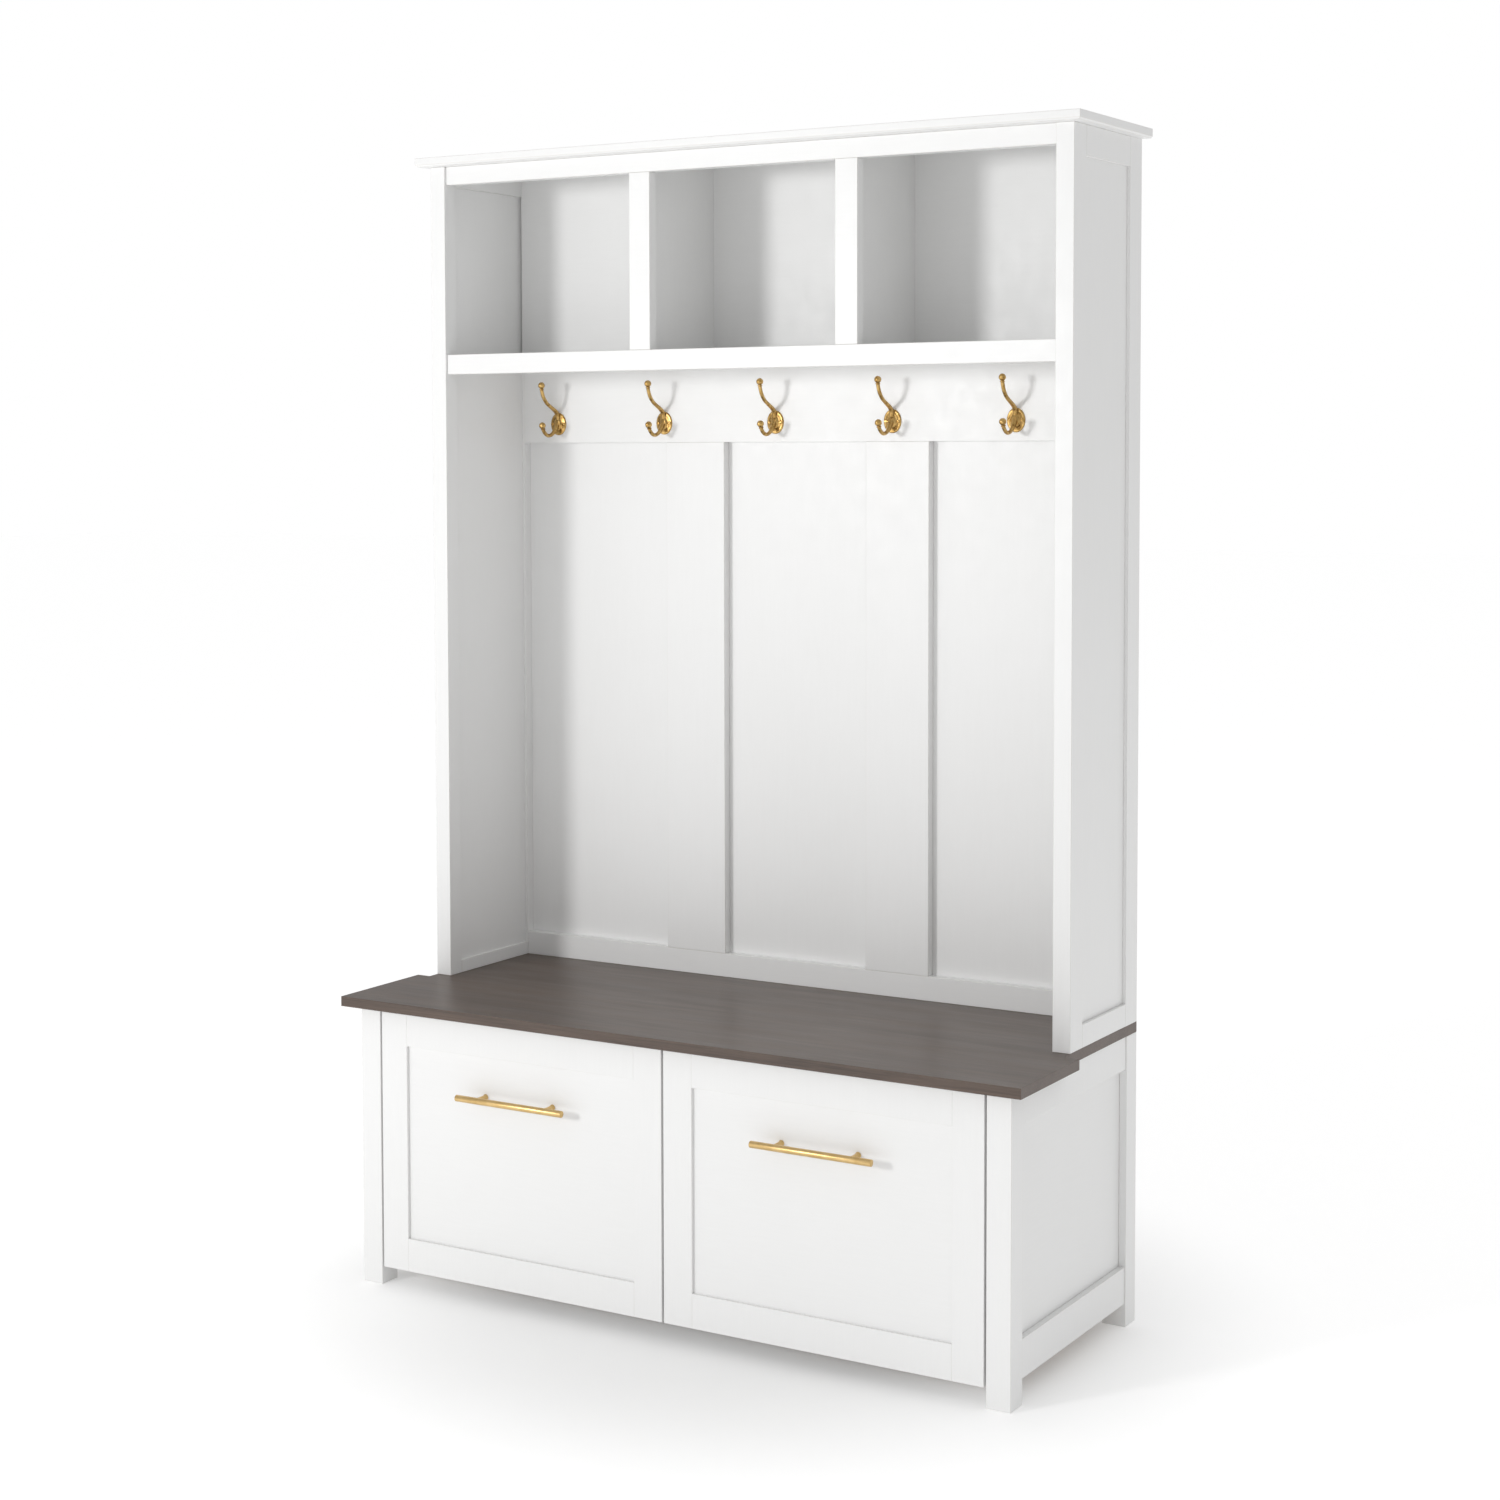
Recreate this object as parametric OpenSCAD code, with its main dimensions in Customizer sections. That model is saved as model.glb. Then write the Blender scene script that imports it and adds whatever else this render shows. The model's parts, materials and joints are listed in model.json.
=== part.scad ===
// Hall tree: a two-drawer base, a dark bench top, and a shallow hutch with a
// coat-hook rail, three cubbies and a crown. Millimetres, +Z up, front to -Y.
// The origin is on the floor, at the middle of the overall footprint.

/* [Overall] */
// Width across the outer faces of the legs and posts
body_w = 1155; // [1000:1:1400]
// Depth from the front of the legs to the back
body_d = 453; // [400:1:560]
// Height from the floor to the top of the crown
overall_h = 1830; // [1650:1:2100]
// Height of the bench's upper surface
bench_h = 468; // [420:1:560]
// Depth of the hutch
hutch_d = 253; // [200:1:300]

/* [Base] */
// Side of a square leg
leg_w = 38.5; // [32:0.5:46]
// Height of the drawer fronts' lower edge above the floor
front_foot_h = 29.5; // [20:0.5:60]
// Height of the lower side rails' underside above the floor
side_foot_h = 36; // [24:0.5:70]
// Height of a lower side rail
base_low_rail_h = 57.5; // [40:0.5:80]
// Height of an upper side rail
base_high_rail_h = 52; // [40:0.5:80]
// Thickness of a base side rail
base_rail_t = 26; // [20:0.5:30]
// Setback of the base side rails from the legs' outer faces
base_rail_setback = 2; // [1:0.5:4]
// Setback of the base side panels from the legs' outer faces
base_panel_setback = 12; // [8:0.5:13]
// Thickness of the base side panels
base_panel_t = 12; // [9:0.5:12]
// Depth of the grooves that hold the base side panels
groove_depth = 6; // [4:0.5:8]
// Thickness of the board between the two drawers
centre_board_t = 18; // [15:0.5:25]
// Width of a hidden stretcher, front to back
stretcher_w = 58; // [40:1:70]
// Thickness of a hidden stretcher
stretcher_t = 18; // [15:0.5:22]
// Thickness of the base's back panel
base_back_t = 6; // [4:0.5:9]

/* [Bench top] */
// Thickness of the bench top
bench_t = 16; // [14:0.5:24]
// How far the bench top passes the body at each side
bench_side_lip = 24; // [10:0.5:35]
// How far the bench top passes the legs at the front
bench_front_lip = 21.5; // [10:0.5:28]
// Distance from the hutch's front to the step in the bench top
bench_step = 21; // [10:0.5:30]

/* [Drawers] */
// Gap between a drawer front and the leg beside it
front_side_gap = 3.5; // [2:0.1:5]
// Gap between the two drawer fronts
front_centre_gap = 4; // [3:0.1:6]
// Gap between a drawer front and the bench top above it
front_top_gap = 3.5; // [2:0.1:6]
// Thickness of the drawer front's frame
front_t = 20; // [18:0.5:22]
// Width of a stile of the drawer front
stile_w = 50; // [40:0.5:70]
// Height of a rail of the drawer front
front_rail_h = 53; // [40:0.5:70]
// Depth of the recessed field in the drawer front
front_recess = 5; // [4:0.5:9]
// Thickness of the recessed field
front_field_t = 9; // [6:0.5:9]
// Clear height between a drawer box and the upper stretcher
box_top_room = 34.5; // [10:0.5:80]
// Clear depth between a drawer box and the rear stretchers
box_rear_room = 5; // [3:0.5:60]
// Thickness of the drawer box's sides and back
box_wall_t = 12; // [10:0.5:15]
// Thickness of the drawer's bottom
box_floor_t = 6; // [4:0.5:9]
// Height of the drawer bottom above the box's lower edge
box_floor_lift = 8; // [6:0.5:14]
// Clear height between the lower stretcher and a drawer box
box_lift = 12; // [8:0.5:20]

/* [Runners] */
// Room between the case and a drawer box for a runner
runner_room = 12.7; // [12:0.1:14]
// Height of a runner's cabinet member
runner_h = 45; // [35:0.5:50]
// Thickness of the runner's sheet
runner_sheet_t = 1.2; // [1:0.1:1.5]
// Play between nested runner members
runner_play = 0.8; // [0.5:0.1:1]

/* [Handles] */
// Length of a bar handle
bar_len = 202; // [160:1:260]
// Radius of the bar
bar_r = 5.25; // [4:0.25:7]
// Distance between the two posts of a bar
post_pitch = 128; // [96:1:160]
// Radius of a post
post_r = 4; // [3:0.25:5]
// Distance from the recessed field to the bar's axis
bar_reach = 28; // [25:0.5:38]
// Depth of the bar's axis below the drawer front's upper edge
bar_drop = 117; // [80:1:160]
// Radius of a handle screw
handle_screw_r = 2; // [1.5:0.25:2.5]

/* [Hutch] */
// Width of a post seen from the front
post_w = 28.5; // [24:0.5:40]
// Depth of a post seen from the side
post_d = 44.5; // [36:0.5:60]
// Setback of the side panels from the posts' outer faces
side_recess = 5.6; // [3:0.1:9]
// Thickness of the hutch's side panels
side_panel_t = 18; // [12:0.5:18]
// Width of the rebate that holds a side panel
rebate_w = 13.5; // [8:0.5:16]
// Height of the lower rail at each side of the hutch
hutch_low_rail_h = 35; // [30:0.5:60]
// Height of the upper rail at each side of the hutch
hutch_high_rail_h = 45; // [30:0.5:60]
// Thickness of the back panel
back_t = 4; // [3:0.5:8]
// Distance of the back panel in front of the rear posts' back faces
back_inset = 11; // [0:0.5:14]
// Thickness of the rails and battens on the back
back_rail_t = 16; // [15:0.5:22]
// Thickness of the board behind the cubbies
cubby_back_t = 22; // [15:0.5:25]
// Height of the lower rail on the back
back_low_rail_h = 39.5; // [30:0.5:80]
// Height of the hook rail
hook_rail_h = 129.5; // [90:0.5:180]
// Width of a batten on the back
batten_w = 113; // [60:1:160]
// Distance between the centres of the two battens
batten_pitch = 379; // [300:1:460]
// Sideways place of the pair of battens
batten_shift = -12; // [-40:1:40]

/* [Shelf and cubbies] */
// Height from the shelf's upper surface to the underside of the crown
cubby_h = 309; // [240:1:380]
// Thickness of the shelf board
shelf_t = 16; // [12:0.5:25]
// Height of the rail at the front of the shelf
shelf_rail_h = 32.5; // [28:0.5:60]
// Height of the rail under the crown
top_rail_h = 30; // [20:0.5:60]
// Depth of the front rails and divider stiles
front_rail_t = 20; // [15:0.5:25]
// Setback of the front rails from the posts' front faces
front_rail_setback = 4; // [2:0.5:8]
// Width of a divider's front stile
divider_stile_w = 38.5; // [25:0.5:50]
// Thickness of a divider board
divider_t = 16; // [12:0.5:20]
// Distance between the centres of the two dividers
divider_pitch = 372; // [320:1:440]
// Sideways place of the pair of dividers
divider_shift = 18; // [-40:1:40]

/* [Crown] */
// Thickness of the crown
crown_t = 14.5; // [12:0.5:30]
// How far the crown passes the posts at each side
crown_side_lip = 17.5; // [8:0.5:30]
// How far the crown passes the posts at the front
crown_front_lip = 20; // [8:0.5:40]
// Chamfer on the crown's lower edge
crown_chamfer = 3; // [1:0.5:6]

/* [Hooks] */
// Distance from the left post to the first hook
hook_left_room = 72; // [40:1:160]
// Distance from the right post to the last hook
hook_right_room = 164; // [40:1:200]
// Height of the plates' centres above the hook rail's lower edge
hook_rise = 32; // [25:1:60]
// Width of a hook's plate
plate_w = 31; // [26:0.5:36]
// Height of a hook's plate
plate_h = 38; // [32:0.5:44]
// Thickness of a hook's plate
plate_t = 3.5; // [2.5:0.5:5]
// Radius of a hook's arm
arm_r = 3.1; // [2.5:0.1:4]
// Radius of the balls on the arms
ball_r = 6; // [4.5:0.25:7]
// Radius of a hook screw
hook_screw_r = 1.8; // [1.5:0.1:2.2]
// Length of a hook screw behind the plate
hook_screw_len = 14; // [8:0.5:14]

/* [Hutch dowels] */
// Radius of a dowel between the bench top and a post
dowel_r = 4; // [3:0.25:5]
// Length of a dowel inside the post
dowel_up = 26; // [15:1:40]
// Length of a dowel inside the bench top
dowel_down = 10; // [6:1:11]

/* [Hidden] */
$fn = 48;
half_w = body_w / 2;
leg_in = half_w - leg_w;
bench_under = bench_h - bench_t;
hutch_y = body_d - hutch_d;
post_in = half_w - post_w;
crown_under = overall_h - crown_t;
shelf_top = crown_under - cubby_h;
shelf_under = shelf_top - shelf_t;
hook_rail_z = shelf_under - hook_rail_h;
hook_z = hook_rail_z + hook_rise;
panel_rear_y = body_d - back_inset;
back_face_y = panel_rear_y - back_t;
rail_face_y = back_face_y - back_rail_t;
cubby_face_y = back_face_y - cubby_back_t;
front_rail_y = hutch_y + front_rail_setback;
board_y = front_rail_y + front_rail_t;
// Drawer fronts and boxes
front_out = leg_in - front_side_gap;
front_in = front_centre_gap / 2;
front_mid = (front_out + front_in) / 2;
front_top = bench_under - front_top_gap;
field_y = front_recess;
box_out = leg_in - runner_room;
box_in = centre_board_t / 2 + runner_room;
stretcher_gap = 4;
stretcher_y = front_t + stretcher_gap;
low_stretcher_top = front_foot_h + stretcher_t;
box_z = low_stretcher_top + box_lift;
base_back_setback = 6;
base_back_y = body_d - base_back_setback - base_back_t;
rear_stretcher_y = base_back_y - stretcher_t;
box_h = bench_under - stretcher_t - box_top_room - box_z;
box_d = rear_stretcher_y - box_rear_room - front_t;
box_floor_z = box_z + box_floor_lift;
// Runners
runner_z = box_z + box_h / 2;
runner_len = box_d;
runner_step = runner_sheet_t + runner_play;
runner_y = front_t + 2;
// Handles
bar_z = front_top - bar_drop;
bar_y = field_y - bar_reach;
screw_head_r = 4;
screw_head_t = 2.5;
screw_bite = 12;
screw_play = 0.05;
// Hook arms: straight steps and bends (radius, turn) in the plane that stands out from the rail
upper_start = [plate_t - 1, 13, 52];
upper_steps = [["line", 6], ["arc", 16, -24], ["line", 34], ["arc", 18, 62], ["line", 13]];
lower_start = [plate_t - 1, -1, -45];
lower_steps = [["line", 18], ["arc", 20, 120], ["line", 3]];
hook_count = 5;
hook_pitch = (2 * post_in - hook_left_room - hook_right_room) / (hook_count - 1);
hook_screw_x = plate_w / 2 - 2.5 * hook_screw_r;
bend_step = 31;
knuckle = 0.15;
// The points along an arm as [out, up, heading], straight steps and bends in turn
function last(list) = list[len(list) - 1];
function bend_points(at, radius, turn) =
    let (n = ceil(abs(turn) / bend_step), side = sign(turn) * radius)
    [for (k = [1:n]) let (heading = at[2] + turn * k / n)
        [at[0] + side * (sin(heading) - sin(at[2])), at[1] - side * (cos(heading) - cos(at[2])), heading]];
function step_points(at, step) =
    step[0] == "line"
        ? [[at[0] + step[1] * cos(at[2]), at[1] + step[1] * sin(at[2]), at[2]]]
        : bend_points(at, step[1], step[2]);
function arm_points(steps, at, i = 0) =
    i == len(steps) ? [] :
    let (points = step_points(at, steps[i])) concat(points, arm_points(steps, last(points), i + 1));
// Middle of the overall footprint, front to back
mid_y = (body_d + bar_y - bar_r) / 2;

white = [0.93, 0.92, 0.90];
walnut = [0.26, 0.21, 0.19];
brass = [0.62, 0.46, 0.22];
birch = [0.80, 0.70, 0.55];
steel = [0.70, 0.70, 0.72];

// ---- Helpers ----

// Moves the whole model so that its footprint is centred on the origin
module placed() { translate([0, -mid_y, 0]) children(); }

// Draws a right-hand piece, or its mirror image on the left
module on_side(side) {
    if (side == "right") children();
    else mirror([1, 0, 0]) children();
}

// A block from its lowest and highest corners
module block(low, high) { translate(low) cube(high - low); }

// A round rod along Y, from its front end
module rod_y(r, len, y, x, z) { translate([x, y, z]) rotate([-90, 0, 0]) cylinder(r = r, h = len); }

// ---- Base ----

module leg(side, rear) {
    groove_x = half_w - base_panel_setback - base_panel_t;
    y = rear ? body_d - leg_w : 0;
    groove_y = rear ? y : leg_w - groove_depth;
    groove_z = side_foot_h + base_low_rail_h - groove_depth;
    groove_top = bench_under - base_high_rail_h + groove_depth;
    color(white) placed() on_side(side) difference() {
        block([leg_in, y, 0], [half_w, y + leg_w, bench_under]);
        block([groove_x, groove_y, groove_z],
              [groove_x + base_panel_t, groove_y + groove_depth, groove_top]);
    }
}

module leg_front_left() { leg("left", false); }
module leg_front_right() { leg("right", false); }
module leg_rear_left() { leg("left", true); }
module leg_rear_right() { leg("right", true); }

module base_side_panel(side) {
    x = half_w - base_panel_setback - base_panel_t;
    color(white) placed() on_side(side)
        block([x, leg_w - groove_depth, side_foot_h + base_low_rail_h - groove_depth],
              [x + base_panel_t, body_d - leg_w + groove_depth,
               bench_under - base_high_rail_h + groove_depth]);
}

module base_side_panel_left() { base_side_panel("left"); }
module base_side_panel_right() { base_side_panel("right"); }

module base_side_rails(side) {
    x = half_w - base_rail_setback;
    low_top = side_foot_h + base_low_rail_h;
    high_bottom = bench_under - base_high_rail_h;
    groove_x = half_w - base_panel_setback - base_panel_t;
    color(white) placed() on_side(side) difference() {
        union() {
            block([x - base_rail_t, leg_w, side_foot_h], [x, body_d - leg_w, low_top]);
            block([x - base_rail_t, leg_w, high_bottom], [x, body_d - leg_w, bench_under]);
        }
        block([groove_x, leg_w, low_top - groove_depth],
              [groove_x + base_panel_t, body_d - leg_w, high_bottom + groove_depth]);
    }
}

module base_side_rails_left() { base_side_rails("left"); }
module base_side_rails_right() { base_side_rails("right"); }

module base_back_panel() {
    color(white) placed()
        block([-leg_in, base_back_y, front_foot_h], [leg_in, base_back_y + base_back_t, bench_under]);
}

// Both stretchers of one row, as blocks that span the base between its legs
module stretcher_pair(y, depth) {
    block([-leg_in, y, front_foot_h], [leg_in, y + depth, low_stretcher_top]);
    block([-leg_in, y, bench_under - stretcher_t], [leg_in, y + depth, bench_under]);
}

module base_front_stretchers() {
    color(white) placed() stretcher_pair(stretcher_y, stretcher_w);
}

module base_rear_stretchers() {
    color(white) placed() stretcher_pair(rear_stretcher_y, stretcher_t);
}

module base_centre_board() {
    half_t = centre_board_t / 2;
    color(white) placed() difference() {
        block([-half_t, stretcher_y, front_foot_h], [half_t, base_back_y, bench_under]);
        stretcher_pair(stretcher_y, stretcher_w);
        stretcher_pair(rear_stretcher_y, stretcher_t);
    }
}

module bench_top() {
    lip_x = half_w + bench_side_lip;
    step_y = hutch_y - bench_step;
    color(walnut) placed() difference() {
        translate([0, 0, bench_under]) linear_extrude(bench_t) polygon([
            [-lip_x, -bench_front_lip], [lip_x, -bench_front_lip], [lip_x, step_y], [half_w, step_y],
            [half_w, body_d], [-half_w, body_d], [-half_w, step_y], [-lip_x, step_y]]);
        dowels();
    }
}

// ---- Drawers ----

module drawer_front_frame(side) {
    color(white) placed() on_side(side) {
        for (x = [front_in, front_out - stile_w])
            block([x, 0, front_foot_h], [x + stile_w, front_t, front_top]);
        for (z = [front_foot_h, front_top - front_rail_h])
            block([front_in + stile_w, 0, z], [front_out - stile_w, front_t, z + front_rail_h]);
    }
}

module drawer_front_field(side) {
    color(white) placed() on_side(side) difference() {
        block([front_in + stile_w, field_y, front_foot_h + front_rail_h],
              [front_out - stile_w, field_y + front_field_t, front_top - front_rail_h]);
        handle_screw_shanks(screw_play);
    }
}

module drawer_sides(side) {
    color(birch) placed() on_side(side) difference() {
        for (x = [box_in, box_out - box_wall_t])
            block([x, front_t, box_z], [x + box_wall_t, front_t + box_d, box_z + box_h]);
        drawer_floor_block();
    }
}

module drawer_back(side) {
    color(birch) placed() on_side(side)
        block([box_in + box_wall_t, front_t + box_d - box_wall_t, box_floor_z + box_floor_t],
              [box_out - box_wall_t, front_t + box_d, box_z + box_h]);
}

// The drawer's bottom, let into its sides by half their thickness
module drawer_floor_block() {
    let_in = box_wall_t / 2;
    block([box_in + let_in, front_t, box_floor_z],
          [box_out - let_in, front_t + box_d, box_floor_z + box_floor_t]);
}

module drawer_bottom(side) { color(birch) placed() on_side(side) drawer_floor_block(); }

// Screws that hold a bar handle to the recessed field, widened by a play
module handle_screw_shanks(play = 0) {
    for (x = [-1, 1] * post_pitch / 2)
        rod_y(handle_screw_r + play, front_field_t + screw_bite, field_y - screw_bite, front_mid + x, bar_z);
}

module drawer_handle(side) {
    color(brass) placed() on_side(side) difference() {
        union() {
            translate([front_mid - bar_len / 2, bar_y, bar_z]) rotate([0, 90, 0])
                cylinder(r = bar_r, h = bar_len);
            for (x = [-1, 1] * post_pitch / 2)
                rod_y(post_r, bar_reach, bar_y, front_mid + x, bar_z);
        }
        handle_screw_shanks(screw_play);
    }
}

module drawer_handle_screws(side) {
    color(steel) placed() on_side(side) {
        handle_screw_shanks();
        for (x = [-1, 1] * post_pitch / 2)
            rod_y(screw_head_r, screw_head_t, field_y + front_field_t, front_mid + x, bar_z);
    }
}

module left_drawer_front_frame() { drawer_front_frame("left"); }
module left_drawer_front_field() { drawer_front_field("left"); }
module left_drawer_sides() { drawer_sides("left"); }
module left_drawer_back() { drawer_back("left"); }
module left_drawer_bottom() { drawer_bottom("left"); }
module left_handle() { drawer_handle("left"); }
module left_handle_screws() { drawer_handle_screws("left"); }
module right_drawer_front_frame() { drawer_front_frame("right"); }
module right_drawer_front_field() { drawer_front_field("right"); }
module right_drawer_sides() { drawer_sides("right"); }
module right_drawer_back() { drawer_back("right"); }
module right_drawer_bottom() { drawer_bottom("right"); }
module right_handle() { drawer_handle("right"); }
module right_handle_screws() { drawer_handle_screws("right"); }

// ---- Runners ----

// A channel along Y whose web starts at x = 0 and whose flanges point along +X
module channel(height, reach) {
    block([0, 0, -height / 2], [runner_sheet_t, runner_len, height / 2]);
    for (z = [-height / 2, height / 2 - runner_sheet_t])
        block([0, 0, z], [reach, runner_len, z + runner_sheet_t]);
}

// Places a channel against a case wall and its mirror image against the other one
module runner_pair(inset) {
    translate([centre_board_t / 2 + inset, runner_y, runner_z]) children();
    translate([leg_in - inset, runner_y, runner_z]) mirror([1, 0, 0]) children();
}

module runner_cabinet(side) {
    color(steel) placed() on_side(side)
        runner_pair(0) channel(runner_h, runner_room - runner_step);
}

module runner_middle(side) {
    reach = runner_room - 2 * runner_step - runner_play;
    color(steel) placed() on_side(side)
        runner_pair(runner_step) channel(runner_h - 2 * runner_step, reach);
}

module runner_drawer(side) {
    color(steel) placed() on_side(side) runner_pair(runner_room) mirror([1, 0, 0])
        channel(runner_h - 4 * runner_step, runner_room - 2 * runner_step);
}

module left_runner_cabinet_members() { runner_cabinet("left"); }
module left_runner_middle_members() { runner_middle("left"); }
module left_runner_drawer_members() { runner_drawer("left"); }
module right_runner_cabinet_members() { runner_cabinet("right"); }
module right_runner_middle_members() { runner_middle("right"); }
module right_runner_drawer_members() { runner_drawer("right"); }

// ---- Hutch ----

module dowels() {
    for (x = [-1, 1] * (half_w - post_w / 2), y = [hutch_y + rebate_w, body_d - rebate_w])
        translate([x, y, bench_h - dowel_down]) cylinder(r = dowel_r, h = dowel_down + dowel_up);
}

module hutch_dowels() { color(birch) placed() dowels(); }

module hutch_front_post(side) {
    rebate_y = hutch_y + post_d - rebate_w;
    color(white) placed() difference() {
        on_side(side) difference() {
            block([post_in, hutch_y, bench_h], [half_w, hutch_y + post_d, crown_under]);
            block([post_in, rebate_y, bench_h], [half_w - side_recess, rebate_y + rebate_w, crown_under]);
        }
        dowels();
    }
}

module hutch_rear_post(side) {
    y = body_d - post_d;
    color(white) placed() difference() {
        on_side(side) difference() {
            block([post_in, y, bench_h], [half_w, body_d, crown_under]);
            block([post_in, y, bench_h], [half_w - side_recess, y + rebate_w, crown_under]);
        }
        dowels();
    }
}

module hutch_side_panel(side) {
    x = half_w - side_recess;
    color(white) placed() on_side(side)
        block([x - side_panel_t, hutch_y + post_d - rebate_w, bench_h + hutch_low_rail_h - rebate_w],
              [x, body_d - post_d + rebate_w, crown_under - hutch_high_rail_h + rebate_w]);
}

// Upper and lower rail between the posts, each rebated for the panel
module hutch_side_rails(side) {
    x = half_w - side_recess;
    front = hutch_y + post_d;
    rear = body_d - post_d;
    low_top = bench_h + hutch_low_rail_h;
    high_bottom = crown_under - hutch_high_rail_h;
    color(white) placed() on_side(side) difference() {
        union() {
            block([post_in, front, bench_h], [half_w, rear, low_top]);
            block([post_in, front, high_bottom], [half_w, rear, crown_under]);
            for (z = [[bench_h, low_top - rebate_w], [high_bottom + rebate_w, crown_under]])
                block([post_in, front - rebate_w, z[0]], [x, rear + rebate_w, z[1]]);
        }
        block([post_in, front - rebate_w, low_top - rebate_w], [x, rear + rebate_w, high_bottom + rebate_w]);
    }
}

module hutch_front_post_left() { hutch_front_post("left"); }
module hutch_front_post_right() { hutch_front_post("right"); }
module hutch_rear_post_left() { hutch_rear_post("left"); }
module hutch_rear_post_right() { hutch_rear_post("right"); }
module hutch_side_panel_left() { hutch_side_panel("left"); }
module hutch_side_panel_right() { hutch_side_panel("right"); }
module hutch_side_rails_left() { hutch_side_rails("left"); }
module hutch_side_rails_right() { hutch_side_rails("right"); }

module hutch_back_panel() {
    color(white) placed() block([-post_in, back_face_y, bench_h], [post_in, panel_rear_y, crown_under]);
}

module hook_rail() {
    color(white) placed() difference() {
        block([-post_in, rail_face_y, hook_rail_z], [post_in, back_face_y, shelf_under]);
        hook_screw_shanks(screw_play);
    }
}

module back_low_rail() {
    color(white) placed()
        block([-post_in, rail_face_y, bench_h], [post_in, back_face_y, bench_h + back_low_rail_h]);
}

module cubby_back_board() {
    color(white) placed()
        block([-post_in, cubby_face_y, shelf_top], [post_in, back_face_y, crown_under]);
}

module back_batten(x) {
    color(white) placed()
        block([x - batten_w / 2, rail_face_y, bench_h + back_low_rail_h],
              [x + batten_w / 2, back_face_y, hook_rail_z]);
}

module back_batten_left() { back_batten(batten_shift - batten_pitch / 2); }
module back_batten_right() { back_batten(batten_shift + batten_pitch / 2); }

// The shelf board fills the recess at each side between the posts
module shelf_board() {
    wing_x = half_w - side_recess - side_panel_t;
    color(white) placed() {
        block([-post_in, board_y, shelf_under], [post_in, back_face_y, shelf_top]);
        for (side = ["left", "right"]) on_side(side)
            block([post_in, hutch_y + post_d - rebate_w, shelf_under],
                  [wing_x, body_d - post_d + rebate_w, shelf_top]);
    }
}

module front_rail(low, high) {
    block([-post_in, front_rail_y, low], [post_in, front_rail_y + front_rail_t, high]);
}

module shelf_front_rail() { color(white) placed() front_rail(shelf_top - shelf_rail_h, shelf_top); }
module top_front_rail() { color(white) placed() front_rail(crown_under - top_rail_h, crown_under); }

module divider_board(x) {
    color(white) placed()
        block([x - divider_t / 2, board_y, shelf_top], [x + divider_t / 2, cubby_face_y, crown_under]);
}

module divider_board_left() { divider_board(divider_shift - divider_pitch / 2); }
module divider_board_right() { divider_board(divider_shift + divider_pitch / 2); }

module divider_stiles() {
    color(white) placed() for (side = [-0.5, 0.5]) {
        x = divider_shift + side * divider_pitch;
        block([x - divider_stile_w / 2, front_rail_y, shelf_top],
              [x + divider_stile_w / 2, front_rail_y + front_rail_t, crown_under - top_rail_h]);
    }
}

// A flat slab whose lower edge is chamfered at the front and sides
module crown() {
    x = half_w + crown_side_lip;
    y = hutch_y - crown_front_lip;
    c = crown_chamfer;
    color(white) placed() translate([0, 0, crown_under]) intersection() {
        translate([0, body_d, 0]) rotate([90, 0, 0]) linear_extrude(body_d - y) polygon([
            [c - x, 0], [x - c, 0], [x, c], [x, crown_t], [-x, crown_t], [-x, c]]);
        translate([-x, 0, 0]) rotate([90, 0, 90]) linear_extrude(2 * x) polygon([
            [y + c, 0], [body_d, 0], [body_d, crown_t], [y, crown_t], [y, c]]);
    }
}

// ---- Hooks ----

// Sideways place of one hook
function hook_x(i) = hook_left_room - post_in + i * hook_pitch;

module hook_screw_shanks(play = 0) {
    for (i = [0:hook_count - 1], x = [-1, 1] * hook_screw_x)
        rod_y(hook_screw_r + play, plate_t + hook_screw_len, rail_face_y - plate_t, hook_x(i) + x, hook_z);
}

// An oval plate, an S-shaped upper arm and a short lower hook, each arm with a ball.
// In here +Y stands out from the rail and the plate's back lies at y = 0.
module coat_hook() {
    difference() {
        rotate([-90, 0, 0]) {
            for (z = [-1, 1] * (plate_h - plate_w) / 2)
                translate([0, z, 0]) cylinder(r = plate_w / 2, h = plate_t);
            translate([-plate_w / 2, (plate_w - plate_h) / 2, 0])
                cube([plate_w, plate_h - plate_w, plate_t]);
        }
        for (x = [-1, 1] * hook_screw_x) rod_y(hook_screw_r + screw_play, plate_t, 0, x, 0);
    }
    hook_arm(upper_start, upper_steps);
    hook_arm(lower_start, lower_steps);
}

// One arm, from its start in the plate to the ball on its end
module hook_arm(start, steps) {
    points = concat([start], arm_points(steps, start));
    for (i = [1:len(points) - 1]) {
        from = points[i - 1];
        to = points[i];
        translate([0, from[0], from[1]]) rotate([atan2(to[1] - from[1], to[0] - from[0]) - 90, 0, 0])
            cylinder(r = arm_r, h = norm([to[0] - from[0], to[1] - from[1]]));
        translate([0, to[0], to[1]]) sphere(r = i < len(points) - 1 ? arm_r + knuckle : ball_r);
    }
}

module placed_hook(i) {
    color(brass) placed() translate([hook_x(i), rail_face_y, hook_z]) rotate([0, 0, 180]) coat_hook();
}

module hook_1() { placed_hook(0); }
module hook_2() { placed_hook(1); }
module hook_3() { placed_hook(2); }
module hook_4() { placed_hook(3); }
module hook_5() { placed_hook(4); }
module hook_screws() { color(brass) placed() hook_screw_shanks(); }

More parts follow.
